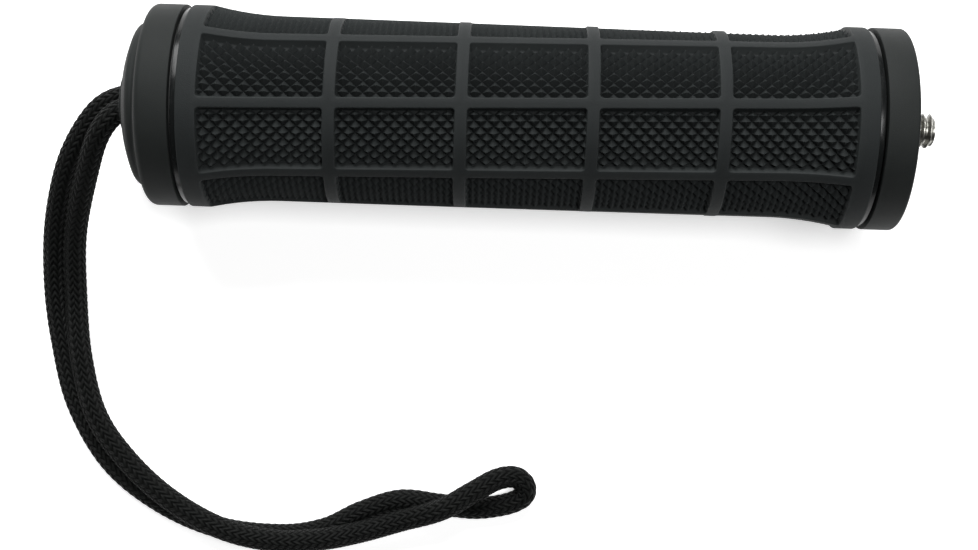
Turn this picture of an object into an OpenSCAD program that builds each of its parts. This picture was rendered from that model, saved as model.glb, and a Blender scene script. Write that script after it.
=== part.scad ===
// Hand grip with a ribbed rubber sleeve, a threaded stud at one end
// and a screw cap with a wrist lanyard at the other.
// The grip lies along X with its stud towards +X and rests on Z = 0. The origin is below its middle.

/* [Sleeve] */
// Radius of the sleeve's end bands, the cap and the collar
grip_r = 18.5; // [17.5:0.1:20]
// Radius of the sleeve's slim middle
waist_r = 17; // [16.5:0.05:17.4]
// Length of the rubber sleeve
sleeve_len = 122.4; // [110:0.2:140]
// Width of the smooth band at each end of the sleeve
band_w = 3.6; // [2:0.1:6]
// Length over which the sleeve flares out to each band
flare_len = 13; // [8:0.5:18]
// Rows of windows round the sleeve
window_rows = 8; // [6:1:10]
// Windows along the sleeve
window_cols = 5; // [3:1:5]
// Spacing of the windows along the sleeve
window_pitch = 23.1; // [21:0.1:23.5]
// Width of the ribs that run round the sleeve
ring_rib_w = 2.2; // [1.5:0.1:4]
// Width of the ribs that run along the sleeve
long_rib_w = 1.9; // [1.5:0.1:4]
// Depth of a window below the ribs
window_depth = 1.6; // [0.6:0.1:1.6]
// Turn of the first long rib away from straight up, at the sleeve's middle
rib_turn = 1.8; // [0:0.1:45]
// Twist of the long ribs round the sleeve, in degrees for each mm along it
rib_twist = 0.109; // [0:0.001:0.15]

/* [Core tube] */
// Outer radius of the core tube
tube_r = 14.5; // [14:0.1:14.8]
// Inner radius of the core tube
bore_r = 12.5; // [11.5:0.1:12.8]
// Radius of the flange at each end of the tube
flange_r = 17.9; // [17:0.1:18.2]
// Thickness of each flange
flange_w = 0.9; // [0.6:0.1:1.5]
// Length of the shoulder that stops the plug
shoulder_len = 6; // [4:0.5:10]
// Inner radius of that shoulder
shoulder_r = 11; // [9:0.1:11.5]

/* [Collar and stud] */
// Thickness of the collar's rim
collar_w = 5.6; // [4:0.1:8]
// Gap that shows between a flange and the collar or cap
joint_gap = 0.4; // [0.2:0.05:0.8]
// Corner radius of the collar
corner_r = 0.6; // [0.4:0.1:1.5]
// Length of the stud beyond the collar
stud_out = 6.9; // [5:0.1:9]
// Major diameter of the stud's thread
stud_d = 6.35; // [6.3:0.05:6.4]
// Width across the flats of the bolt's head
head_af = 11.1; // [10.8:0.1:11.2]

/* [Cap] */
// Length of the cap's cylindrical rim
cap_rim_w = 4.8; // [3.5:0.1:7]
// Height of the cap beyond the flange joint
cap_h = 11.4; // [10.5:0.1:14]
// Length of the cap's threaded boss inside the tube
boss_len = 8.6; // [6.5:0.1:12]
// Radius of the cord's hole in the cap
cord_hole_r = 4.7; // [4.5:0.1:5.5]

/* [Lanyard] */
// Diameter of the lanyard's cord
cord_d = 4; // [3.6:0.1:4]
// Radius of the washer behind the cap
washer_r = 8.6; // [7:0.1:9]
// Radius of the stopper knot
knot_r = 6.4; // [5.5:0.1:7.5]

/* [Hidden] */
$fn = 96;
clear = 0.05;              // play between pieces that slide together
run_gap = 0.2;             // gap between pieces that turn against each other
sleeve_end = sleeve_len / 2;
flange_face = sleeve_end + flange_w;
rim_face = flange_face + joint_gap;
collar_face = rim_face + collar_w;
flare_start = sleeve_end - band_w - flare_len;
flare_rise = grip_r - waist_r;
flare_arc = (flare_len * flare_len + flare_rise * flare_rise) / (2 * flare_rise);
shoulder_start = flange_face - shoulder_len;
spigot_r = shoulder_r - clear;
spigot_len = 5;            // how far the collar's spigot reaches into the tube
plug_w = 6;
insert_r = 4.5;
insert_start = rim_face - spigot_len;
insert_len = 8.5;
shank_r = 2.75;            // a rolled thread leaves the plain shank as thin as its pitch diameter
bolt_bore_r = stud_d / 2 + 0.2;
flat_washer_w = 1.2;
lock_washer_w = 1.4;
head_h = 4.2;
plug_back = shoulder_start - plug_w;
lock_washer_back = plug_back - flat_washer_w - lock_washer_w;
boss_r = bore_r - clear;
boss_bore_r = 9.5;
cavity_h = 7;              // how far the cap's cavity reaches beyond its rim face
seal_r = 17.2;
lanyard_washer_w = 0.8;
knot_face = rim_face + cavity_h - run_gap - lanyard_washer_w;
knot_len = 8;
cord_sides = 8;
steps_per_point = 2;

// Route of the cord's middle line: out of the cap, round the loop, back over itself and into the cap.
ROUTE = [
    [-68.5, 1.5, 17], [-74.5, 1.5, 17], [-80, -1.5, 16], [-85.5, -10, 13],
    [-89, -21.5, 8], [-90, -33.5, 3.5], [-88.5, -45, 2.1], [-85, -57, 2.1],
    [-78, -68, 2.1], [-68, -75.5, 2.1], [-56.5, -80, 2.1], [-44.5, -81, 2.1],
    [-36, -79.5, 2.1], [-29, -76, 2.1], [-21.5, -73.5, 2.1], [-14, -74, 2.1],
    [-7.5, -74.5, 2.1], [-3, -74, 2.1], [0.5, -73, 2.2], [2.5, -71.5, 2.6],
    [2.5, -69.5, 3.2], [0.5, -68, 4], [-3, -68.5, 5], [-7.5, -71, 6],
    [-13.5, -74.5, 6.5], [-21, -77, 5], [-29, -79.5, 5], [-36.5, -81, 6.2],
    [-45.5, -81.5, 6.3], [-55.5, -79.5, 6.3], [-65.5, -74.5, 5.7], [-74, -67.5, 5.2],
    [-80.5, -59, 5], [-84, -48, 4.6], [-85.5, -36, 4.6], [-85, -24, 8.5],
    [-81.5, -12.5, 15], [-78.5, -5.5, 18.8], [-74.5, -1.5, 20], [-68.5, -1.5, 20]
];

// Stands a shape that was drawn up the Z axis along the grip's own axis.
module along_grip() {
    translate([0, 0, grip_r]) rotate([0, 90, 0]) children();
}

// The same, but pointing towards the cap.
module towards_cap() {
    translate([0, 0, grip_r]) rotate([0, -90, 0]) children();
}

module ring(outer, inner, from, to) {
    translate([0, 0, from]) difference() {
        cylinder(r = outer, h = to - from);
        translate([0, 0, -1]) cylinder(r = inner, h = to - from + 2);
    }
}

// Points of an arc from one angle to another.
function arc(centre, r, from, to, steps) =
    [for (k = [0 : steps]) let (a = from + (to - from) * k / steps) centre + r * [cos(a), sin(a)]];

// One flare of the sleeve, from its slim middle out to the band: points of distance along and radius.
function flare(inset) =
    let (half = asin(flare_len / flare_arc))
    arc([flare_start, waist_r - inset + flare_arc], flare_arc, -90, -90 + half, 6);

// Outline of the sleeve's wall as radius and distance along, with its skin lowered by an inset.
function sleeve_outline(inset) =
    let (skin = concat([for (p = flare(inset)) [p.y, p.x]], [[grip_r - inset, sleeve_end]]))
    concat(
        [[tube_r + clear, -sleeve_end]],
        [for (k = [len(skin) - 1 : -1 : 0]) [skin[k].x, -skin[k].y]],
        skin,
        [[tube_r + clear, sleeve_end]]
    );

module grip_sleeve() {
    color("#2b2e2e") along_grip() union() {
        rotate_extrude() polygon(sleeve_outline(window_depth));
        intersection() {
            rotate_extrude() polygon(sleeve_outline(0));
            union() {
                for (k = [0 : window_rows - 1], column = [0 : window_cols - 1])
                    let (
                        middle = (column + 0.5 - window_cols / 2) * window_pitch,
                        from = column == 0 ? -sleeve_end : middle - window_pitch / 2,
                        to = column == window_cols - 1 ? sleeve_end : middle + window_pitch / 2
                    )
                    rotate([0, 0, 180 - rib_turn - rib_twist * middle + k * 360 / window_rows])
                        translate([tube_r + 0.5, -long_rib_w / 2, from])
                            cube([grip_r, long_rib_w, to - from]);
                for (k = [1 : window_cols - 1])
                    ring(grip_r + 1, tube_r + 0.5, (k - window_cols / 2) * window_pitch - ring_rib_w / 2,
                        (k - window_cols / 2) * window_pitch + ring_rib_w / 2);
                for (side = [-1, 1])
                    ring(grip_r + 1, tube_r + 0.5, side < 0 ? -sleeve_end : sleeve_end - band_w,
                        side < 0 ? band_w - sleeve_end : sleeve_end);
            }
        }
    }
}

module core_tube() {
    color("#141617") along_grip() difference() {
        union() {
            cylinder(r = tube_r, h = 2 * flange_face, center = true);
            for (side = [-1, 1])
                translate([0, 0, side * (flange_face - flange_w / 2)])
                    cylinder(r = flange_r, h = flange_w, center = true);
        }
        translate([0, 0, -flange_face - 1]) cylinder(r = bore_r, h = flange_face + shoulder_start + 1);
        cylinder(r = shoulder_r, h = flange_face + 1);
    }
}

// Bulkhead that the bolt pulls against the tube's shoulder.
module front_plug() {
    color("#1c1e1f") along_grip() ring(bore_r - clear, bolt_bore_r, plug_back, shoulder_start);
}

module stud_collar() {
    color("#242727") along_grip() difference() {
        union() {
            rotate_extrude() polygon(concat([[0, rim_face]], [[grip_r, rim_face]],
                arc([grip_r - corner_r, collar_face - corner_r], corner_r, 0, 90, 6), [[0, collar_face]]));
            translate([0, 0, flange_face]) cylinder(r = flange_r - 1.4, h = joint_gap + 1);
            translate([0, 0, insert_start]) cylinder(r = spigot_r, h = spigot_len + 1);
        }
        translate([0, 0, insert_start - 1]) cylinder(r = insert_r, h = insert_len + 1);
        cylinder(r = bolt_bore_r, h = collar_face + 1);
    }
}

// Threaded bush that is moulded into the collar.
module collar_insert() {
    color("#b08d57") along_grip()
        ring(insert_r - clear, shank_r + clear, insert_start, insert_start + insert_len - clear);
}

module stud_bolt() {
    tip = 0.5;
    color("#c9cacb") along_grip() union() {
        translate([0, 0, lock_washer_back - head_h])
            cylinder(d = head_af / cos(30), h = head_h, $fn = 6);
        translate([0, 0, lock_washer_back - 0.5])
            cylinder(r = shank_r, h = collar_face - lock_washer_back + 1);
        translate([0, 0, collar_face]) cylinder(d = stud_d, h = stud_out - tip);
        translate([0, 0, collar_face + stud_out - tip])
            cylinder(r1 = stud_d / 2, r2 = stud_d / 2 - tip, h = tip);
    }
}

module stud_washer() {
    color("#b9bbbd") along_grip()
        ring(8, bolt_bore_r, plug_back - flat_washer_w, plug_back);
}

// Split spring washer under the bolt's head.
module stud_lock_washer() {
    color("#a9abad") along_grip() difference() {
        ring(5.8, bolt_bore_r, lock_washer_back, lock_washer_back + lock_washer_w);
        translate([0, -0.4, lock_washer_back - 1]) cube([8, 0.8, lock_washer_w + 2]);
    }
}

// Outline of the cap's outside: rim, rounded shoulder, neck, low dome and the lip round the cord's hole.
function cap_outline() =
    let (
        neck_r = grip_r - 3.4,
        rim_end = rim_face + cap_rim_w,
        neck_end = rim_face + 7.1,
        top = rim_face + cap_h,
        lip_r = cord_hole_r + 1.2
    )
    concat(
        [[boss_r, rim_face], [grip_r, rim_face]],
        arc([grip_r - 1.3, rim_end], 1.3, 0, 60, 5),
        [[neck_r + 0.4, neck_end - 0.4]],
        arc([neck_r - 1.5, neck_end], 1.5, 0, 72, 6),
        [[(neck_r + lip_r) / 2, top - 1.5], [lip_r + 0.4, top - 0.9]],
        arc([lip_r - 0.4, top - 0.4], 0.4, 0, 90, 3),
        [[cord_hole_r - 1, top], [cord_hole_r - 1, rim_face]]
    );

module end_cap() {
    color("#262929") towards_cap() difference() {
        union() {
            rotate_extrude() polygon(cap_outline());
            translate([0, 0, rim_face - joint_gap - boss_len])
                cylinder(r = boss_r, h = boss_len + joint_gap + 1);
        }
        translate([0, 0, rim_face - joint_gap - boss_len - 1])
            cylinder(r = boss_bore_r, h = boss_len + joint_gap + 1 + cavity_h);
        cylinder(r = cord_hole_r, h = rim_face + cap_h + 1);
    }
}

// Flat rubber ring squeezed between the cap and the tube's flange.
module cap_seal() {
    color("#0c0d0d") towards_cap() ring(seal_r, bore_r + 0.3, flange_face, rim_face);
}

module lanyard_washer() {
    color("#9b9d9f") towards_cap() ring(washer_r, cord_hole_r, knot_face, knot_face + lanyard_washer_w);
}

// Outer shape of the knot that both ends of the cord are tied in.
module lanyard_knot() {
    round_r = 2.4;
    color("#101111") towards_cap() rotate_extrude() polygon(concat(
        [[0, knot_face - knot_len]],
        arc([knot_r - round_r, knot_face - knot_len + round_r], round_r, -90, 0, 5),
        arc([knot_r - round_r, knot_face - round_r], round_r, 0, 90, 5),
        [[0, knot_face]]));
}

function curve_point(p0, p1, p2, p3, t) =
    0.5 * (2 * p1 + (p2 - p0) * t + (2 * p0 - 5 * p1 + 4 * p2 - p3) * t * t
        + (3 * p1 - p0 - 3 * p2 + p3) * t * t * t);

// A smooth line through every point of a route.
function smooth_line(points, steps) =
    let (
        last = len(points) - 1,
        ends = concat([2 * points[0] - points[1]], points, [2 * points[last] - points[last - 1]])
    )
    concat([for (k = [0 : last - 1], s = [0 : steps - 1])
        curve_point(ends[k], ends[k + 1], ends[k + 2], ends[k + 3], s / steps)], [points[last]]);

function unit(v) = v / norm(v);

// Corners of a round section that stands across the line at one of its points.
function section(line, k, r, sides) =
    let (
        last = len(line) - 1,
        along = unit(line[min(k + 1, last)] - line[max(k - 1, 0)]),
        across = unit(cross([0, 0, 1], along)),
        up = cross(along, across)
    )
    [for (s = [0 : sides - 1]) let (a = (s + 0.5) * 360 / sides)
        line[k] + r * (cos(a) * across + sin(a) * up)];

module swept_tube(line, r, sides) {
    rings = len(line);
    points = [for (k = [0 : rings - 1]) each section(line, k, r, sides)];
    walls = [for (k = [0 : rings - 2], s = [0 : sides - 1])
        let (a = k * sides + s, b = k * sides + (s + 1) % sides) [a, a + sides, b + sides, b]];
    start = [for (s = [0 : sides - 1]) s];
    end = [for (s = [sides - 1 : -1 : 0]) (rings - 1) * sides + s];
    polyhedron(points, concat(walls, [start, end]), convexity = 10);
}

module lanyard_cord() {
    shift = [73.9 - rim_face - cap_h, 0, 0];
    color("#151717") translate(shift)
        swept_tube(smooth_line(ROUTE, steps_per_point), cord_d / 2, cord_sides);
}

core_tube();
grip_sleeve();
front_plug();
stud_collar();
collar_insert();
stud_bolt();
stud_washer();
stud_lock_washer();
end_cap();
cap_seal();
lanyard_washer();
lanyard_knot();
lanyard_cord();
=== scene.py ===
import math
import bmesh
import bpy
import numpy as np
from mathutils import Matrix, Vector


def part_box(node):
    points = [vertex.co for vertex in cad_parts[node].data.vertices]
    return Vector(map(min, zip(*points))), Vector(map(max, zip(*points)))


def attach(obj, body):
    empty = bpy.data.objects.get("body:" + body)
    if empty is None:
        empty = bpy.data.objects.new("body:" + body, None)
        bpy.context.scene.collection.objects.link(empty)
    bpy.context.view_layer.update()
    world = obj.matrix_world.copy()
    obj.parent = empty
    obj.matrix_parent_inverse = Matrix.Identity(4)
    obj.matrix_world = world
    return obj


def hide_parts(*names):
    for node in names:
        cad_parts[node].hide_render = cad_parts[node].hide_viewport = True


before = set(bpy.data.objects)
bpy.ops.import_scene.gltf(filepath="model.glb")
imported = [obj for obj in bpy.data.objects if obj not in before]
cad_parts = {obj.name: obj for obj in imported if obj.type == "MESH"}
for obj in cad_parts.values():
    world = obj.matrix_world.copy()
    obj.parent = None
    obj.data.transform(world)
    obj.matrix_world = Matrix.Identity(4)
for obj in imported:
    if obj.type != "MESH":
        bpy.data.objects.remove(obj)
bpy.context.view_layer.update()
mm = 0.001
print("frame loaded")


# Camera
view = {
    "lens": 57.06,
    "place": (-4.47, -33.73, 304.34),  # mm
    "lean": 0.0044,  # radians
    "tip": 0.0154,
    "twist": 0.0349,
}


def makeCamera():
    cameraData = bpy.data.cameras.new("camera")
    cameraData.lens = view["lens"]
    cameraData.sensor_width = 36
    cameraData.clip_start = 0.01
    camera = bpy.data.objects.new("camera", cameraData)
    bpy.context.scene.collection.objects.link(camera)
    place = Matrix.Translation(Vector(view["place"]) * mm)
    turn = Matrix.Rotation(view["lean"], 4, "Y") @ Matrix.Rotation(view["tip"], 4, "X")
    camera.matrix_world = place @ turn @ Matrix.Rotation(view["twist"], 4, "Z")
    bpy.context.scene.camera = camera


makeCamera()


class Wire:  # one output of a node, so that sums can be written plainly
    def __init__(self, tree, socket=None):
        self.tree = tree
        self.socket = socket

    def add(self, kind, settings=None, sockets=None, output=0):
        node = self.tree.nodes.new(kind)
        for name, value in (settings or {}).items():
            setattr(node, name, value)
        for name, value in (sockets or {}).items():
            for one in value if isinstance(value, list) else [value]:
                if isinstance(one, Wire):
                    self.tree.links.new(one.socket, node.inputs[name])
                else:
                    node.inputs[name].default_value = one
        return Wire(self.tree, node.outputs[output]) if len(node.outputs) else None

    def other(self, output):
        return Wire(self.tree, self.socket.node.outputs[output])

    def sum(self, operation, *values):
        return self.add("ShaderNodeMath", {"operation": operation}, dict(enumerate(values)))

    def __add__(self, value):
        return self.sum("ADD", self, value)

    def __sub__(self, value):
        return self.sum("SUBTRACT", self, value)

    def __rsub__(self, value):
        return self.sum("SUBTRACT", value, self)

    def __mul__(self, value):
        return self.sum("MULTIPLY", self, value)

    def __truediv__(self, value):
        return self.sum("DIVIDE", self, value)

    __radd__ = __add__
    __rmul__ = __mul__


def startFinish(name):
    material = bpy.data.materials.new(name)
    material.use_nodes = True
    material.node_tree.nodes.clear()
    return material, Wire(material.node_tree)


def finishSurface(nodes, colour, roughness, height, depth, **fixed):
    bump = nodes.add("ShaderNodeBump", {}, {"Distance": depth * mm, "Height": height})
    sockets = {"Base Color": colour, "Roughness": roughness, "Normal": bump}
    sockets.update({name.replace("_", " "): value for name, value in fixed.items()})
    shader = nodes.add("ShaderNodeBsdfPrincipled", {}, sockets)
    nodes.add("ShaderNodeOutputMaterial", {}, {"Surface": shader})


def mixColours(nodes, share, first, second):
    return nodes.add("ShaderNodeMix", {"data_type": "RGBA"}, {0: share, 6: (*first, 1), 7: (*second, 1)}, 2)


def grainOf(nodes, place, size, detail=2, roughness=0.5):  # noise whose lumps are this many mm
    sockets = {"Vector": place, "Scale": 1 / (size * mm), "Detail": detail, "Roughness": roughness}
    return nodes.add("ShaderNodeTexNoise", {}, sockets)


def stepped(nodes, value, low, high):  # 0 below low, 1 above high, smooth between
    sockets = {"Value": value, "From Min": low, "From Max": high}
    return nodes.add("ShaderNodeMapRange", {"interpolation_type": "SMOOTHSTEP"}, sockets)


# Finishes
rubber = {
    "colour": (0.0155, 0.0175, 0.0178),
    # paler: the colour that wear, specks and random tone mix towards, and the painted light on the window
    # walls too
    "paler": (0.028, 0.0315, 0.0315),
    "roughness": 0.66,
    "grain": 0.22,  # mm
    "grainDepth": 0.05,
}


def rubberFinish():
    material, nodes = startFinish("sleeveRubber")
    place = nodes.add("ShaderNodeTexCoord", {}, {}, "Object")
    wear = nodes.add("ShaderNodeAttribute", {"attribute_name": "wear"}, {}, "Fac")
    cloud = grainOf(nodes, place, 9, 3)
    grain = grainOf(nodes, place, rubber["grain"], 3, 0.6)
    specks = stepped(nodes, grainOf(nodes, place, 0.5, 4, 0.7), 0.66, 0.74)
    # the attribute gives wear on edges, ends and the pyramids' tips, and painted light on the window walls
    share = wear * (0.35 + cloud * 0.5) + specks * 0.18 + stepped(nodes, cloud, 0.3, 0.75) * 0.16
    colour = mixColours(nodes, share, rubber["colour"], rubber["paler"])
    roughness = rubber["roughness"] + (cloud - 0.5) * 0.18 + (grain - 0.5) * 0.12 - wear * 0.1
    height = grain + grainOf(nodes, place, 1.4, 2) * 0.6
    finishSurface(nodes, colour, roughness, height, rubber["grainDepth"], Specular_IOR_Level=0.09)
    return material


moulding = {
    "colour": (0.0135, 0.0152, 0.0148),
    "paler": (0.024, 0.027, 0.0265),
    "roughness": 0.6,
    "grain": 0.16,
    "grainDepth": 0.035,
    "plugColour": (0.014, 0.0155, 0.0155),
    "plugRoughness": 0.4,
}


def mouldedFinish(name, colour, roughness):
    material, nodes = startFinish(name)
    place = nodes.add("ShaderNodeTexCoord", {}, {}, "Object")
    cloud = grainOf(nodes, place, 12, 3)
    grain = grainOf(nodes, place, moulding["grain"], 2, 0.7)
    rubs = stepped(nodes, grainOf(nodes, place, 2.2, 5, 0.75), 0.6, 0.78)
    share = rubs * 0.35 + stepped(nodes, cloud, 0.35, 0.8) * 0.2
    colour = mixColours(nodes, share, colour, moulding["paler"])
    shine = roughness + (cloud - 0.5) * 0.2 - rubs * 0.08 + (grain - 0.5) * 0.1
    finishSurface(nodes, colour, shine, grain, moulding["grainDepth"], Specular_IOR_Level=0.1)
    return material


gloss = {
    "colour": (0.006, 0.0068, 0.0068),
    "dull": (0.02, 0.021, 0.021),
    "roughness": 0.2,
}


def glossFinish():
    material, nodes = startFinish("glossCore")
    place = nodes.add("ShaderNodeTexCoord", {}, {}, "Object")
    stretched = nodes.add("ShaderNodeMapping", {}, {"Vector": place, "Scale": (6, 1, 1)})
    smears = grainOf(nodes, stretched, 4, 4, 0.65)
    dust = stepped(nodes, grainOf(nodes, place, 0.35, 4, 0.7), 0.64, 0.72)
    share = dust * 0.6 + stepped(nodes, smears, 0.5, 0.8) * 0.2
    colour = mixColours(nodes, share, gloss["colour"], gloss["dull"])
    roughness = gloss["roughness"] + stepped(nodes, smears, 0.4, 0.75) * 0.14 + dust * 0.2
    finishSurface(nodes, colour, roughness, smears, 0.02, Specular_IOR_Level=0.2)
    return material


metals = {
    "zinc": {"colour": (0.34, 0.335, 0.31), "dull": (0.13, 0.125, 0.115), "roughness": 0.3},
    "brass": {"colour": (0.62, 0.46, 0.2), "dull": (0.36, 0.25, 0.11), "roughness": 0.3},
}


def metalFinish(name, look):
    material, nodes = startFinish(name)
    place = nodes.add("ShaderNodeTexCoord", {}, {}, "Object")
    turned = nodes.add("ShaderNodeMapping", {}, {"Vector": place, "Scale": (9, 1, 1)})
    marks = grainOf(nodes, turned, 1.1, 5, 0.7)
    stains = stepped(nodes, grainOf(nodes, place, 1.5, 4, 0.6), 0.45, 0.72)
    colour = mixColours(nodes, stains * 0.55, look["colour"], look["dull"])
    roughness = look["roughness"] + stains * 0.2 + (marks - 0.5) * 0.16
    finishSurface(nodes, colour, roughness, marks, 0.02, Metallic=1)
    return material


sealSkin = {
    "colour": (0.006, 0.006, 0.006),
    "paler": (0.014, 0.014, 0.014),
    "roughness": 0.55,
}


def sealFinish():
    material, nodes = startFinish("sealRubber")
    place = nodes.add("ShaderNodeTexCoord", {}, {}, "Object")
    grain = grainOf(nodes, place, 0.3, 4, 0.6)
    cloud = grainOf(nodes, place, 5, 2)
    colour = mixColours(nodes, stepped(nodes, cloud, 0.4, 0.8) * 0.5, sealSkin["colour"], sealSkin["paler"])
    roughness = sealSkin["roughness"] + (cloud - 0.5) * 0.2 + (grain - 0.5) * 0.1
    finishSurface(nodes, colour, roughness, grain, 0.03)
    return material


braid = {
    "stitches": 16,  # half columns round the cord
    "stitch": 1.45,  # mm along the cord
    "slant": 0.8,
    "stagger": 0.5,  # stitches that each column is behind the last
    "roundness": 0.7,
    "relief": 0.23,  # mm
    "colour": (0.0053, 0.006, 0.0055),
    # valleyShade: painted shade, the dark colour in the valleys between the yarns
    "valleyShade": (0.0007, 0.0008, 0.0008),
}


def braidFinish():
    material, nodes = startFinish("lanyardBraid")
    spot = nodes.add("ShaderNodeUVMap", {"uv_map": "braid"}, {})
    across = nodes.add("ShaderNodeSeparateXYZ", {}, {"Vector": spot}, "X")
    along = across.other("Y")
    fold = nodes.sum("PINGPONG", across, 1)
    column = nodes.sum("FLOOR", (across + 1) / 2)
    phase = nodes.sum("FRACT", along - fold * braid["slant"] + column * braid["stagger"])
    yarn = nodes.sum("POWER", nodes.sum("SINE", phase * math.pi), braid["roundness"])
    crown = yarn * (0.62 + 0.38 * nodes.sum("SINE", (fold * 0.8 + 0.1) * math.pi))
    place = nodes.add("ShaderNodeCombineXYZ", {}, {"X": phase * 7, "Y": fold * 1.3, "Z": along})
    fibreLook = {"Vector": place, "Scale": 1.6, "Detail": 3, "Roughness": 0.7}
    fibres = nodes.add("ShaderNodeTexNoise", {}, fibreLook)
    tone = grainOf(nodes, nodes.add("ShaderNodeTexCoord", {}, {}, "Object"), 6, 3)
    # the colour goes from painted shade in the valleys to the yarn's own colour on the crowns; fibres and
    # tone vary it at random
    share = stepped(nodes, crown, 0.25, 0.95) * (0.62 + fibres * 0.5 + (tone - 0.5) * 0.5)
    colour = mixColours(nodes, share, braid["valleyShade"], braid["colour"])
    roughness = 0.72 - crown * 0.18 + (fibres - 0.5) * 0.25
    finishSurface(nodes, colour, roughness, crown + fibres * 0.28, 0.2, Specular_IOR_Level=0.1)
    return material


finishes = {
    "sleeve_rubber": rubberFinish(),
    "cap_black": mouldedFinish("capPlastic", moulding["colour"], moulding["roughness"]),
    "moulded_black": mouldedFinish("plugPlastic", moulding["plugColour"], moulding["plugRoughness"]),
    "gloss_core": glossFinish(),
    "stud_steel": metalFinish("zincSteel", metals["zinc"]),
    "insert_brass": metalFinish("brass", metals["brass"]),
    "seal_rubber": sealFinish(),
    "lanyard_braid": braidFinish(),
}
print("finishes made")


# Helpers for pieces
sleeveLow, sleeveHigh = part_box("grip_sleeve")
axisHeight = (sleeveLow.z + sleeveHigh.z) / 2 / mm
gripRadius = (sleeveHigh.z - sleeveLow.z) / 2 / mm
sleeveEnd = sleeveHigh.x / mm


def addPiece(mesh, slotName, body, *replaced):
    piece = bpy.data.objects.new(mesh.name, mesh)
    bpy.context.scene.collection.objects.link(piece)
    mesh.materials.clear()
    mesh.materials.append(finishes[slotName])
    mesh.shade_smooth()
    mesh.set_sharp_from_angle(angle=math.radians(35))
    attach(piece, body)
    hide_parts(*replaced)
    return piece


def tidyMesh(name, shape):  # merges the seams, closes them and points the faces outwards
    bmesh.ops.remove_doubles(shape, verts=shape.verts, dist=0.0015)
    bmesh.ops.dissolve_degenerate(shape, edges=shape.edges, dist=0.0005)
    bmesh.ops.recalc_face_normals(shape, faces=shape.faces)
    bmesh.ops.scale(shape, vec=(mm, mm, mm), verts=shape.verts)
    mesh = bpy.data.meshes.new(name)
    shape.to_mesh(mesh)
    shape.free()
    return mesh


def spinRows(name, rows, columns=96):  # each row gives x and radius for a share of a turn
    shape = bmesh.new()
    grid = []
    for row in rows:
        line = []
        for k in range(columns + 1):
            x, r = row(k / columns)
            turn = 2 * math.pi * k / columns
            line.append(shape.verts.new((x, r * math.sin(turn), axisHeight + r * math.cos(turn))))
        grid.append(line)
    for first, second in zip(grid, grid[1:] + grid[:1]):
        for k in range(columns):
            shape.faces.new((first[k], first[k + 1], second[k + 1], second[k]))
    return tidyMesh(name, shape)


def spot(x, r):
    return lambda turn: (x, r)


def spots(points):
    return [spot(x, r) for x, r in points]


def cornerPoints(x, r, size, start, end, steps=6):  # part of a circle, as x and radius
    angles = [math.radians(start + (end - start) * k / steps) for k in range(steps + 1)]
    return [(x + size * math.sin(a), r + size * math.cos(a)) for a in angles]


def threadRows(start, end, crest, depth, pitch, chamfer):  # one right-handed thread, run out at both ends
    shares = ((0, 1), (0.13, 1), (0.3, 0.52), (0.48, 0), (0.65, 0), (0.83, 0.52))
    rows = []
    for turnIndex in range(-1, int((end - start) / pitch) + 2):
        for share, height in shares:
            def row(turn, base=turnIndex + share, height=height):
                x = min(max(start + (base + turn) * pitch, start), end)
                runOut = min(x - start, end - x) / chamfer
                limit = crest + depth * min(runOut - 1, 0)
                full = crest + depth * (height - 1)
                return x, min(full, limit) if depth > 0 else max(full, limit)
            rows.append(row)
    return rows


# Lanyard cord
# Out of the cap, round the loop, back over itself and into the cap again, in mm.
route = [
    (-68.5, 1.5, 17), (-74.5, 1.5, 17), (-80, -1.5, 16), (-85.5, -10, 13),
    (-89, -21.5, 8), (-90, -33.5, 3.5), (-88.5, -45, 2.1), (-85, -57, 2.1),
    (-78, -68, 2.1), (-68, -75.5, 2.1), (-56.5, -80, 2.1), (-44.5, -81, 2.1),
    (-36, -79.5, 2.1), (-29, -76, 2.1), (-21.5, -73.5, 2.1), (-14, -74, 2.1),
    (-7.5, -74.5, 2.1), (-3, -74, 2.1), (0.5, -73, 2.2), (2.5, -71.5, 2.6),
    (2.5, -69.5, 3.2), (0.5, -68, 4), (-3, -68.5, 5), (-7.5, -71, 6),
    (-13.5, -74.5, 6.5), (-21, -77, 5), (-29, -79.5, 5), (-36.5, -81, 6.2),
    (-45.5, -81.5, 6.3), (-55.5, -79.5, 6.3), (-65.5, -74.5, 5.7), (-74, -67.5, 5.2),
    (-80.5, -59, 5), (-84, -48, 4.6), (-85.5, -36, 4.6), (-85, -24, 8.5),
    (-81.5, -12.5, 15), (-78.5, -5.5, 18.8), (-74.5, -1.5, 20), (-68.5, -1.5, 20),
]
lanyard = {
    "diameter": 4.3,
    "ring": 0.22,  # mm between rings
    "sides": 48,
    "exit": (-73.9, 0, 18.5),
}


def smoothLine(points, spacing, closed=False):  # evenly spaced points on the curve through all of them
    points = np.array(points, float)
    if closed:
        ends = np.vstack([points[-1], points, points[0], points[1]])
    else:
        ends = np.vstack([2 * points[0] - points[1], points, 2 * points[-1] - points[-2]])
    t = np.linspace(0, 1, 60, endpoint=False)[:, None]
    parts = []
    for k in range(len(ends) - 3):
        p0, p1, p2, p3 = ends[k:k + 4]
        parts.append(0.5 * (2 * p1 + (p2 - p0) * t + (2 * p0 - 5 * p1 + 4 * p2 - p3) * t ** 2
                            + (3 * p1 - p0 - 3 * p2 + p3) * t ** 3))
    parts.append(points[:1] if closed else points[-1:])
    line = np.vstack(parts)
    gone = np.concatenate([[0], np.cumsum(np.linalg.norm(np.diff(line, axis=0), axis=1))])
    wanted = np.linspace(0, gone[-1], int(round(gone[-1] / spacing)) + 1)
    return np.stack([np.interp(wanted, gone, line[:, k]) for k in range(3)], 1), wanted


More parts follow.
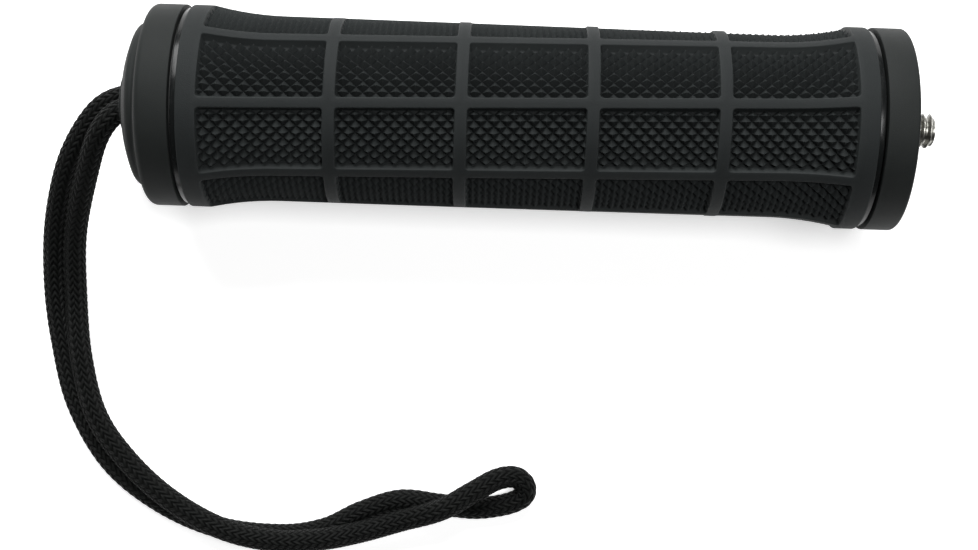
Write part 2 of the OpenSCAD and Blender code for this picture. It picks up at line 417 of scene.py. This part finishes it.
def braidHeight(across, along):  # 0 in the valleys and 1 on the crowns, as in the braid's finish
    fold = 1 - np.abs(1 - np.mod(across, 2))
    column = np.floor((across + 1) / 2)
    phase = np.mod(along - fold * braid["slant"] + column * braid["stagger"], 1)
    yarn = np.sin(phase * math.pi) ** braid["roundness"]
    return yarn * (0.62 + 0.38 * np.sin((fold * 0.8 + 0.1) * math.pi))


def sweepBraid(name, line, gone, radius, sides, closed=False):
    along = np.gradient(line, axis=0)
    along /= np.linalg.norm(along, axis=1)[:, None]
    side = np.cross(along[0], (0.3, 0.2, 1))
    side /= np.linalg.norm(side)
    frames = []
    for direction in along:  # carries the section along without twisting it
        side = side - direction * np.dot(side, direction)
        side /= np.linalg.norm(side)
        frames.append((side, np.cross(direction, side)))
    sides3 = np.array([f[0] for f in frames])[:, None, :]
    ups3 = np.array([f[1] for f in frames])[:, None, :]
    share = np.arange(sides) / sides
    across = share * braid["stitches"]
    height = braidHeight(across[None, :], (gone / braid["stitch"])[:, None])
    r = (radius - braid["relief"] * (1 - height))[:, :, None]
    angle = (share * 2 * math.pi)[None, :, None]
    points = line[:, None, :] + r * (np.cos(angle) * sides3 + np.sin(angle) * ups3)
    rings = len(line)
    k, s = np.meshgrid(np.arange(rings - 1), np.arange(sides), indexing="ij")
    nextSide = (s + 1) % sides
    faces = np.stack([
        k * sides + s, k * sides + nextSide, (k + 1) * sides + nextSide, (k + 1) * sides + s,
    ], -1)
    vertices = points.reshape(-1, 3) * mm
    faceList = faces.reshape(-1, 4).tolist()
    if not closed:
        faceList.append(list(range(sides))[::-1])
        faceList.append(list(range((rings - 1) * sides, rings * sides)))
    mesh = bpy.data.meshes.new(name)
    mesh.from_pydata(vertices.tolist(), [], faceList)
    layer = mesh.uv_layers.new(name="braid")
    width = braid["stitches"] / sides
    uv = np.stack([
        np.stack([s, s + 1, s + 1, s], -1) * width,
        np.stack([gone[k], gone[k], gone[k + 1], gone[k + 1]], -1) / braid["stitch"],
    ], -1).reshape(-1, 2)
    uv = np.vstack([uv, np.zeros((len(mesh.loops) - len(uv), 2))])
    layer.data.foreach_set("uv", uv.astype(np.float32).ravel())
    return mesh


cordLine, cordGone = smoothLine(route, lanyard["ring"])
cordMesh = sweepBraid("cord", cordLine, cordGone, lanyard["diameter"] / 2, lanyard["sides"])
cord = addPiece(cordMesh, "lanyard_braid", "lanyard", "lanyard_cord")

knotLow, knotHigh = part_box("lanyard_knot")
knot = {"tube": 1.95, "spread": 1.44, "depth": 1.85, "points": 36, "ring": 0.25, "sides": 32}


def buildKnot():
    middle = (knotLow + knotHigh) / 2 / mm
    points = []
    for k in range(knot["points"]):
        t = 2 * math.pi * k / knot["points"]
        points.append((
            middle.x - knot["depth"] * math.sin(3 * t),
            middle.y + knot["spread"] * (math.sin(t) + 2 * math.sin(2 * t)),
            middle.z + knot["spread"] * (math.cos(t) - 2 * math.cos(2 * t)),
        ))
    line, gone = smoothLine(points, knot["ring"], closed=True)
    return sweepBraid("knot", line, gone, knot["tube"], knot["sides"])


knotPiece = addPiece(buildKnot(), "lanyard_braid", "lanyard", "lanyard_knot")


# Rubber sleeve
sleeve = {
    "waist": 17,  # radius
    "flare": 13,  # length of each flare
    "band": 3.6,
    "rows": 8,
    "windows": 5,
    "pitch": 23.1,
    "ringRib": 2.2,
    "longRib": 1.9,
    "turn": 1.8,  # degrees from straight up to the first long rib, at the middle
    "twist": 0.109,  # degrees for each mm along
    "inner": 14.55,
    "depth": 1.6,
    "corner": 0.6,
    "bandStep": 1.1,  # from a window's end to the band's first ring
    "endEdge": 0.35,
    "endWear": (0.8, 0.8, 0.1),  # round the end's edge, from the outside in
    "liner": (58, 54, 50, 45, 20, 0),  # places of the rings on the inner face
    "ribZone": 1.5,  # from a long rib's middle, where widths stay true in the flares
    "pyramid": 2.31,  # across its corners
    "pyramidTop": 0.3,  # below the ribs
    "pyramidFlat": 0.09,
    "pyramidSink": 0.02,  # how far each stands into the window's floor
    "pyramidGap": 0.6,  # none this near a ring rib's middle
    "pyramidReach": 50,  # past this, from the middle, the ring ribs no longer count
    "pyramidWear": 0.75,
    "lattice": (101, 9),  # points along and across a panel
    "steps": (10, 8, 3),  # along, across and round a window's corner
}
# A window's side from rib to floor: inset, height and how much paler it gets: wear on the rib's rounded edge
# (first three rows) and painted light on the wall (fourth and fifth rows, on all four sides).
windowSide = (
    (-0.22, 0, 0.15), (-0.11, -0.03, 0.7), (-0.03, -0.11, 1), (0, -0.22, 0.85),
    (0.28, -1.38, 0.6), (0.36, -1.53, 0), (0.5, -1.6, 0),
)
panelWidth = 2 * math.pi * sleeve["waist"] / sleeve["rows"]
flareStart = sleeveEnd - sleeve["band"] - sleeve["flare"]
flareRise = gripRadius - sleeve["waist"]
flareArc = (sleeve["flare"] ** 2 + flareRise ** 2) / (2 * flareRise)


def skinRadius(x):
    out = min(max(abs(x) - flareStart, 0), sleeve["flare"])
    return sleeve["waist"] + flareArc - math.sqrt(flareArc ** 2 - out ** 2)


def windowLines(low, edgeLow, edgeHigh, high, straight):
    corner = sleeve["corner"]
    steps = sleeve["steps"][2]
    lines = [low + (edgeLow + corner - low) * k / steps for k in range(steps + 1)]
    span = edgeHigh - edgeLow - 2 * corner
    lines += [edgeLow + corner + span * k / straight for k in range(1, straight)]
    return lines + [edgeHigh - corner + (high - edgeHigh + corner) * k / steps for k in range(steps + 1)]


def addWindow(shape, wear, lineX, lineS, edgesX, edgesS):
    corner = sleeve["corner"]
    steps = sleeve["steps"][2]
    lastX = len(lineX) - 1
    lastS = len(lineS) - 1

    def along(k, last, edges, lines, reach):  # place along a side, rounded near its two corners
        if k <= steps:
            return edges[0] + corner - reach
        if k >= last - steps:
            return edges[1] - corner + reach
        return lines[k]

    def ringPoint(i, j, inset):
        radius = corner - inset
        if j in (0, lastS):
            turn = math.radians(45 * (1 - min(i, lastX - i, steps) / steps))
            x = along(i, lastX, edgesX, lineX, radius * math.sin(turn))
            s = along(j, lastS, edgesS, lineS, radius * math.cos(turn))
        else:
            turn = math.radians(45 * (1 - min(j, lastS - j, steps) / steps))
            x = along(i, lastX, edgesX, lineX, radius * math.cos(turn))
            s = along(j, lastS, edgesS, lineS, radius * math.sin(turn))
        return x, s

    around = [(i, 0) for i in range(lastX)] + [(lastX, j) for j in range(lastS)]
    around += [(i, lastS) for i in range(lastX, 0, -1)] + [(0, j) for j in range(lastS, 0, -1)]
    rings = [[shape.verts.new((lineX[i], lineS[j], 0)) for i, j in around]]
    # the third value is wear on the rib's edge and painted light on the wall below it
    for inset, height, paler in windowSide:
        ring = []
        for i, j in around:
            vertex = shape.verts.new((*ringPoint(i, j, inset), height))
            vertex[wear] = paler
            ring.append(vertex)
        rings.append(ring)
    for first, second in zip(rings, rings[1:]):
        for k in range(len(around)):
            n = (k + 1) % len(around)
            shape.faces.new((first[k], first[n], second[n], second[k]))
    floor = dict(zip(around, rings[-1]))
    inset, height, paler = windowSide[-1]
    for i in range(1, lastX):
        for j in range(1, lastS):
            x = (ringPoint(i, 0, inset)[0] + ringPoint(i, lastS, inset)[0]) / 2
            s = (ringPoint(0, j, inset)[1] + ringPoint(lastX, j, inset)[1]) / 2
            floor[(i, j)] = shape.verts.new((x, s, height))
    for i in range(lastX):
        for j in range(lastS):
            shape.faces.new((floor[(i, j)], floor[(i + 1, j)], floor[(i + 1, j + 1)], floor[(i, j + 1)]))


def buildPanel():  # one eighth of the sleeve laid out flat, in mm: x along, y across, z up from the skin
    shape = bmesh.new()
    # one value a vertex: wear on edges and ends, and painted light on the window walls
    wear = shape.verts.layers.float.new("wear")
    halfRib = sleeve["ringRib"] / 2
    edgesS = (sleeve["longRib"] / 2, panelWidth - sleeve["longRib"] / 2)
    lineS = windowLines(0, *edgesS, panelWidth, sleeve["steps"][1])
    bandEdge = sleeveEnd - sleeve["band"]
    bandLine = bandEdge + sleeve["bandStep"]
    for k in range(sleeve["windows"]):
        low = (k - sleeve["windows"] / 2) * sleeve["pitch"]
        high = low + sleeve["pitch"]
        edges = (low + halfRib, high - halfRib)
        if k == 0:
            low = -bandLine
            edges = (-bandEdge, edges[1])
        if k == sleeve["windows"] - 1:
            high = bandLine
            edges = (edges[0], bandEdge)
        addWindow(shape, wear, windowLines(low, *edges, high, sleeve["steps"][0]), lineS, edges, edgesS)
    size = sleeve["endEdge"]
    outside = [(bandLine, 0, 0), (sleeveEnd - size, 0, 0.1)]
    for k, paler in enumerate(sleeve["endWear"], 1):
        a = math.radians(30 * k)
        outside.append((sleeveEnd - size * (1 - math.sin(a)), size * (math.cos(a) - 1), paler))
    inside = [(x, sleeve["inner"] - skinRadius(x), 0) for x in (sleeveEnd, *sleeve["liner"])]
    for side in (-1, 1):
        lines = []
        for x, height, paler in outside + inside:
            line = [shape.verts.new((side * x, s, height)) for s in lineS]
            for vertex in line:
                vertex[wear] = paler
            lines.append(line)
        for first, second in zip(lines, lines[1:]):
            for k in range(len(lineS) - 1):
                shape.faces.new((first[k], first[k + 1], second[k + 1], second[k]))
    mesh = bpy.data.meshes.new("sleevePanel")
    shape.to_mesh(mesh)
    shape.free()
    return mesh


def buildSleeveTree():  # repeats the panel and its pyramids round the grip and bends them to its shape
    tree = bpy.data.node_groups.new("sleeveWrap", "GeometryNodeTree")
    tree.is_modifier = True
    sizes = {
        "Panel Width": panelWidth,
        "Half Rib Zone": sleeve["ribZone"],
        "First Rib Turn": math.radians(sleeve["turn"]),
        "Rib Twist": math.radians(sleeve["twist"]),
        "Waist Radius": sleeve["waist"],
        "Flare Start": flareStart,
        "Flare Length": sleeve["flare"],
        "Flare Arc": flareArc,
        "Axis Height": axisHeight,
        "Window Pitch": sleeve["pitch"],
        "Window Depth": sleeve["depth"],
        "Pyramid Step": sleeve["pyramid"] / 2,
        "Pyramid Height": sleeve["depth"] - sleeve["pyramidTop"],
        "Pyramid Flat": sleeve["pyramidFlat"],
    }
    tree.interface.new_socket("Geometry", in_out="INPUT", socket_type="NodeSocketGeometry")
    tree.interface.new_socket("Geometry", in_out="OUTPUT", socket_type="NodeSocketGeometry")
    keys = {"Rows": tree.interface.new_socket("Rows", in_out="INPUT", socket_type="NodeSocketInt").identifier}
    for name in sizes:
        keys[name] = tree.interface.new_socket(name, in_out="INPUT", socket_type="NodeSocketFloat").identifier
    sizes["Rows"] = sleeve["rows"]
    nodes = Wire(tree)
    panel = nodes.add("NodeGroupInput")
    given = {name: panel.other(name) for name in keys}

    rowMove = nodes.add("ShaderNodeCombineXYZ", {}, {"Y": given["Panel Width"]})
    rowPoints = nodes.add("GeometryNodeMeshLine", {}, {"Count": given["Rows"], "Offset": rowMove})
    rowPoints = nodes.add("GeometryNodeMeshToPoints", {}, {"Mesh": rowPoints, "Radius": 1.0})

    x = nodes.add("ShaderNodeSeparateXYZ", {}, {"Vector": nodes.add("GeometryNodeInputPosition")}, "X")
    s = x.other("Y")
    past = nodes.sum("MAXIMUM", nodes.sum("ABSOLUTE", x) - given["Flare Start"], 0)
    out = nodes.sum("MINIMUM", past, given["Flare Length"])
    arc = given["Flare Arc"]
    radius = given["Waist Radius"] + arc - nodes.sum("SQRT", arc * arc - out * out)
    half = given["Panel Width"] / 2
    row = nodes.sum("MINIMUM", nodes.sum("FLOOR", s / given["Panel Width"]), given["Rows"] - 1)
    local = s - row * given["Panel Width"] - half
    fromRib = half - nodes.sum("ABSOLUTE", local)
    halfTurn = nodes.sum("DIVIDE", math.pi, given["Rows"])
    zone = given["Half Rib Zone"]
    near = nodes.sum("MINIMUM", fromRib, zone) / radius  # ribs keep their width where the sleeve flares
    far = nodes.sum("MAXIMUM", fromRib - zone, 0) * (halfTurn - zone / radius) / (half - zone)
    middleTurn = given["First Rib Turn"] + x * given["Rib Twist"] + halfTurn * (row * 2 + 1)
    turn = middleTurn + nodes.sum("SIGN", local) * (halfTurn - near - far)
    reach = radius + x.other("Z")
    wrapped = nodes.add("ShaderNodeCombineXYZ", {}, {
        "X": x * mm,
        "Y": reach * nodes.sum("SINE", turn) * mm,
        "Z": (given["Axis Height"] + reach * nodes.sum("COSINE", turn)) * mm,
    })

    panels = nodes.add("GeometryNodeInstanceOnPoints", {}, {"Points": rowPoints, "Instance": panel})
    panels = nodes.add("GeometryNodeRealizeInstances", {}, {"Geometry": panels})
    panels = nodes.add("GeometryNodeSetPosition", {}, {"Geometry": panels, "Position": wrapped})
    panels = nodes.add("GeometryNodeMergeByDistance", {}, {"Geometry": panels, "Distance": 0.003 * mm})

    # A lattice with an odd count across, so that every second point makes the staggered rows.
    step = given["Pyramid Step"]
    along, across = sleeve["lattice"]
    lattice = nodes.add("GeometryNodeMeshGrid", {}, {
        "Size X": step * (along - 1), "Size Y": step * (across - 1),
        "Vertices X": along, "Vertices Y": across,
    })
    lattice = nodes.add("GeometryNodeMeshToPoints", {}, {"Mesh": lattice, "Radius": 1.0})
    ribDistance = nodes.sum("PINGPONG", x - given["Window Pitch"] / 2, given["Window Pitch"] / 2)
    inReach = nodes.sum("LESS_THAN", nodes.sum("ABSOLUTE", x), sleeve["pyramidReach"])
    hidden = nodes.sum("LESS_THAN", ribDistance, sleeve["pyramidGap"]) * inReach
    skipped = nodes.sum("MODULO", nodes.add("GeometryNodeInputIndex"), 2)
    lattice = nodes.add("GeometryNodeDeleteGeometry", {"domain": "POINT"}, {
        "Geometry": lattice, "Selection": nodes.sum("MAXIMUM", hidden, skipped),
    })
    level = -sleeve["pyramidSink"] - given["Window Depth"]
    middle = nodes.add("ShaderNodeCombineXYZ", {}, {"Y": half, "Z": level})
    lattice = nodes.add("GeometryNodeTransform", {}, {"Geometry": lattice, "Translation": middle})
    cone = nodes.add("GeometryNodeMeshCone", {}, {
        "Vertices": 4, "Radius Top": given["Pyramid Flat"], "Radius Bottom": step,
        "Depth": given["Pyramid Height"] + sleeve["pyramidSink"],
    })
    paler = nodes.sum("GREATER_THAN", x.other("Z"), 0.5) * sleeve["pyramidWear"]
    cone = nodes.add("GeometryNodeStoreNamedAttribute", {"data_type": "FLOAT", "domain": "POINT"}, {
        "Geometry": cone, "Name": "wear", "Value": paler,
    })
    pyramids = nodes.add("GeometryNodeInstanceOnPoints", {}, {"Points": lattice, "Instance": cone})
    pyramids = nodes.add("GeometryNodeRealizeInstances", {}, {"Geometry": pyramids})
    pyramids = nodes.add("GeometryNodeInstanceOnPoints", {}, {"Points": rowPoints, "Instance": pyramids})
    pyramids = nodes.add("GeometryNodeRealizeInstances", {}, {"Geometry": pyramids})
    pyramids = nodes.add("GeometryNodeSetPosition", {}, {"Geometry": pyramids, "Position": wrapped})

    whole = nodes.add("GeometryNodeJoinGeometry", {}, {"Geometry": [panels, pyramids]})
    whole = nodes.add("GeometryNodeRealizeInstances", {}, {"Geometry": whole})
    skin = finishes["sleeve_rubber"]
    whole = nodes.add("GeometryNodeSetMaterial", {}, {"Geometry": whole, "Material": skin})
    nodes.add("NodeGroupOutput", {}, {"Geometry": whole})
    return tree, {keys[name]: value for name, value in sizes.items()}


def meshFromTree(name, mesh, tree, inputs):
    holder = bpy.data.objects.new(name + "Holder", mesh)
    bpy.context.scene.collection.objects.link(holder)
    modifier = holder.modifiers.new(name, "NODES")
    modifier.node_group = tree
    for key, value in inputs.items():
        modifier[key] = value
    graph = bpy.context.evaluated_depsgraph_get()
    result = bpy.data.meshes.new_from_object(holder.evaluated_get(graph))
    result.name = name
    holder.modifiers.clear()
    bpy.data.objects.remove(holder)
    return result


def outwards(mesh):
    shape = bmesh.new()
    shape.from_mesh(mesh)
    bmesh.ops.recalc_face_normals(shape, faces=shape.faces)
    shape.to_mesh(mesh)
    shape.free()
    return mesh


sleeveMesh = outwards(meshFromTree("sleeve", buildPanel(), *buildSleeveTree()))
addPiece(sleeveMesh, "sleeve_rubber", "grip", "grip_sleeve")
print("sleeve made,", len(sleeveMesh.polygons), "faces")


# Core tube
tube = {
    "outer": 14.5,
    "bore": 12.5,
    "flange": 17.9,
    "flangeWidth": 0.9,
    "shoulder": 11,
    "shoulderLength": 6,
    "edge": 0.12,
    "threadPitch": 1.5,
    "threadDepth": 0.7,
    "threadLength": 10.5,
    "threadRunOut": 1.2,
}
flangeFace = sleeveEnd + tube["flangeWidth"]


def buildTube():
    edge = tube["edge"]
    flange = tube["flange"]
    face = flangeFace
    back = sleeveEnd
    threadEnd = -face + tube["threadLength"]
    rows = spots(
        [(-face, tube["bore"] + edge)]
        + [(-x, r) for x, r in cornerPoints(face - edge, flange - edge, edge, 90, 0, 3)]
        + [(-back, flange), (-back, tube["outer"]), (back, tube["outer"]), (back, flange)]
        + cornerPoints(face - edge, flange - edge, edge, 0, 90, 3)
        + [(face, tube["shoulder"] + edge), (face - edge, tube["shoulder"])]
        + [(face - tube["shoulderLength"], tube["shoulder"]), (face - tube["shoulderLength"], tube["bore"])]
        + [(threadEnd, tube["bore"])]
    )
    thread = threadRows(
        -face, threadEnd, tube["bore"], -tube["threadDepth"], tube["threadPitch"], tube["threadRunOut"],
    )
    return spinRows("coreTube", rows + thread[::-1], 96)


addPiece(buildTube(), "gloss_core", "grip", "core_tube")


# Collar
collar = {
    "gap": 0.4,
    "width": 5.6,
    "corner": 0.6,
    "backCorner": 0.15,
    "recess": 1.4,  # from the tube's flange in to the step behind the rim
    "boreEdge": 0.25,
    "spigotEdge": 0.3,
    "bore": 3.375,
    "spigot": 10.95,
    "spigotLength": 5,
    "insert": 4.5,
    "insertLength": 8.5,
}
rimFace = flangeFace + collar["gap"]
collarFace = rimFace + collar["width"]


def buildCollar():
    corner = collar["corner"]
    small = collar["backCorner"]
    back = rimFace - collar["spigotLength"]
    insertEnd = back + collar["insertLength"]
    step = tube["flange"] - collar["recess"]
    bore = collar["bore"]
    spigot = collar["spigot"]
    boreEdge = collar["boreEdge"]
    spigotEdge = collar["spigotEdge"]
    rows = spots(
        [(collarFace - boreEdge, bore), (collarFace, bore + boreEdge)]
        + [(collarFace, gripRadius * share) for share in (0.4, 0.6, 0.8)]
        + cornerPoints(collarFace - corner, gripRadius - corner, corner, 90, 0, 8)
        + cornerPoints(rimFace + small, gripRadius - small, small, 0, -90, 3)
        + [(rimFace, step), (flangeFace, step), (flangeFace, spigot)]
        + [(back + spigotEdge, spigot), (back, spigot - spigotEdge), (back, collar["insert"])]
        + [(insertEnd, collar["insert"]), (insertEnd, bore)]
    )
    return spinRows("studCollar", rows, 128)


addPiece(buildCollar(), "cap_black", "grip", "stud_collar")


# Stud and what holds it
stud = {
    "radius": 3.175,
    "out": 6.9,
    "pitch": 1.27,
    "threadDepth": 0.74,
    "chamfer": 0.55,
    "shank": 2.75,
    "threadBack": 1.7,  # how far the thread reaches into the collar
    "headFlats": 11.1,
    "headHeight": 4.2,
}


def buildStud():
    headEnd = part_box("stud_lock_washer")[0].x / mm
    headStart = headEnd - stud["headHeight"]
    tip = collarFace + stud["out"]
    threadStart = collarFace - stud["threadBack"]
    root = stud["radius"] - stud["threadDepth"]
    flat = stud["headFlats"] / 2
    corner = flat / math.cos(math.radians(30))

    def headRow(x, limit):
        def row(turn):
            side = (turn * 360) % 60 - 30
            return x, min(flat / math.cos(math.radians(side)), limit)
        return row

    rows = [spot(headStart, 0), spot(headStart, flat - 0.35)]
    rows += [headRow(headStart + 0.12, flat - 0.1), headRow(headStart + 0.35, corner - 0.35)]
    rows += [headRow(headStart + 0.62, corner), headRow(headEnd - 0.2, corner)]
    rows += [headRow(headEnd, corner - 0.3), spot(headEnd, stud["shank"])]
    rows += [spot(threadStart - 0.4, stud["shank"]), spot(threadStart, root)]
    rows += threadRows(threadStart, tip, stud["radius"], stud["threadDepth"], stud["pitch"], stud["chamfer"])
    rows += [spot(tip, root - 0.3), spot(tip - 0.06, 0.6), spot(tip - 0.08, 0)]
    return spinRows("studBolt", rows, 72)


def buildRing(name, node, edge):  # a washer or bush with broken edges, sized from its node
    low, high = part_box(node)
    start = low.x / mm
    end = high.x / mm
    outer = (high.z - low.z) / 2 / mm
    inner = ringBores[node]
    rows = spots([
        (start, inner + edge), (start, outer - edge), (start + edge, outer), (end - edge, outer),
        (end, outer - edge), (end, inner + edge), (end - edge, inner), (start + edge, inner),
    ])
    return spinRows(name, rows, 72)


ringBores = {
    "front_plug": 3.375,
    "collar_insert": 2.8,
    "stud_washer": 3.375,
    "cap_seal": 12.8,
    "lanyard_washer": 4.7,
}
addPiece(buildStud(), "stud_steel", "grip", "stud_bolt")
addPiece(buildRing("frontPlug", "front_plug", 0.3), "moulded_black", "grip", "front_plug")
addPiece(buildRing("threadBush", "collar_insert", 0.25), "insert_brass", "grip", "collar_insert")
addPiece(buildRing("flatWasher", "stud_washer", 0.15), "stud_steel", "grip", "stud_washer")
addPiece(buildRing("capSeal", "cap_seal", 0.12), "seal_rubber", "seal", "cap_seal")
addPiece(buildRing("cordWasher", "lanyard_washer", 0.12), "stud_steel", "lanyard", "lanyard_washer")
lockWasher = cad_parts["stud_lock_washer"]
lockWasher.data.materials.clear()
lockWasher.data.materials.append(finishes["stud_steel"])
print("tube, collar and stud made")


# Screw cap
cap = {
    "rim": 4.8,
    "shoulder": 1.3,
    "neck": 15.1,
    "neckEnd": 7.1,  # from the rim's face
    "neckRound": 1.5,
    "domeIn": 1.04,  # from the neck's radius to the dome's start
    "domeDrop": 2.87,  # from the lip's top down to the dome's start
    "domeRise": 1.97,
    "domeBulge": 0.42,
    "height": 11.4,
    "hole": 4.7,
    "lip": 5.9,
    "boss": 12.45,
    "bossBore": 9.5,
    "bossLength": 8.6,
    "cavity": 7,
    "threadPitch": 1.5,
    "threadDepth": 0.7,
}


def buildCap():  # drawn pointing along +x, then turned to the other end
    rimEnd = rimFace + cap["rim"]
    top = rimFace + cap["height"]
    neck = cap["neck"]
    shoulder = cap["shoulder"]
    bossEnd = rimFace - collar["gap"] - cap["bossLength"]
    neckEnd = rimFace + cap["neckEnd"]
    neckRound = cap["neckRound"]
    dome = []
    for k in range(1, 12):  # a low dome from the neck's rounded edge up to the lip
        share = k / 12
        r = neck - cap["domeIn"] + (cap["lip"] + 0.4 + cap["domeIn"] - neck) * share
        bulge = cap["domeBulge"] * math.sin(math.pi * share)
        dome.append((top - cap["domeDrop"] + cap["domeRise"] * share + bulge, r))
    outside = (
        cornerPoints(rimFace + 0.15, gripRadius - 0.15, 0.15, -90, 0, 3)
        + cornerPoints(rimEnd, gripRadius - shoulder, shoulder, 0, 62, 8)
        + [(neckEnd - 0.5, neck + 0.5), (neckEnd - 0.25, neck + 0.12)]
        + cornerPoints(neckEnd, neck - neckRound, neckRound, 0, 72, 9)
        + dome
        + [(top - 0.84, cap["lip"] + 0.25), (top - 0.7, cap["lip"] + 0.04)]
        + cornerPoints(top - 0.4, cap["lip"] - 0.4, 0.4, 0, 90, 5)
        + cornerPoints(top - 0.4, cap["hole"] + 0.4, 0.4, 90, 180, 5)
        + [(rimFace + cap["cavity"], cap["hole"]), (rimFace + cap["cavity"], cap["bossBore"])]
        + [(bossEnd + 0.3, cap["bossBore"]), (bossEnd, cap["bossBore"] + 0.3)]
    )
    thread = threadRows(bossEnd, rimFace - 0.05, cap["boss"], cap["threadDepth"], cap["threadPitch"], 0.8)

    def turned(row):
        def other(turn):
            x, r = row(1 - turn)
            return -x, r
        return other

    rows = spots(outside) + thread
    return spinRows("endCap", [turned(row) for row in rows], 128)


addPiece(buildCap(), "cap_black", "cap", "end_cap")
print("cap made")


# Studio
studio = {
    "world": 0.03,
    "floorGlow": 0.55,
    "floor": (0.88, 0.88, 0.88),
    "floorReach": 3,  # m each way
    "floorDrop": 0.0002,  # m below what the part rests on
    "lights": (  # place in m, size in m, power in W
        ((-0.165, 0.825, 0.7), (0.75, 0.75), 20),
        ((0.246, 0, 1.02), (0.34, 0.34), 5.5),
    ),
}


def buildStudio():
    world = bpy.data.worlds.new("studio")
    bpy.context.scene.world = world
    world.use_nodes = True
    background = world.node_tree.nodes["Background"]
    background.inputs["Color"].default_value = (1, 1, 1, 1)
    background.inputs["Strength"].default_value = studio["world"]
    for k, (place, size, power) in enumerate(studio["lights"]):
        lamp = bpy.data.lights.new("softLight" + str(k), "AREA")
        lamp.shape = "RECTANGLE"
        lamp.size = size[0]
        lamp.size_y = size[1]
        lamp.energy = power
        light = bpy.data.objects.new(lamp.name, lamp)
        bpy.context.scene.collection.objects.link(light)
        light.location = place
        light.rotation_euler = Vector(place).to_track_quat("Z", "Y").to_euler()
    mesh = bpy.data.meshes.new("floor")
    reach = studio["floorReach"]
    level = -studio["floorDrop"]
    corners = [(x * reach, y * reach, level) for x, y in ((-1, -1), (1, -1), (1, 1), (-1, 1))]
    mesh.from_pydata(corners, [], [(0, 1, 2, 3)])
    floor = bpy.data.objects.new("floor", mesh)
    bpy.context.scene.collection.objects.link(floor)
    material, nodes = startFinish("paleFloor")
    shader = nodes.add("ShaderNodeBsdfPrincipled", {}, {
        "Base Color": (*studio["floor"], 1), "Roughness": 0.9,
        "Emission Color": (1, 1, 1, 1), "Emission Strength": studio["floorGlow"],
    })
    nodes.add("ShaderNodeOutputMaterial", {}, {"Surface": shader})
    mesh.materials.append(material)
    bpy.context.scene.view_settings.view_transform = "Standard"


buildStudio()
print("studio made")
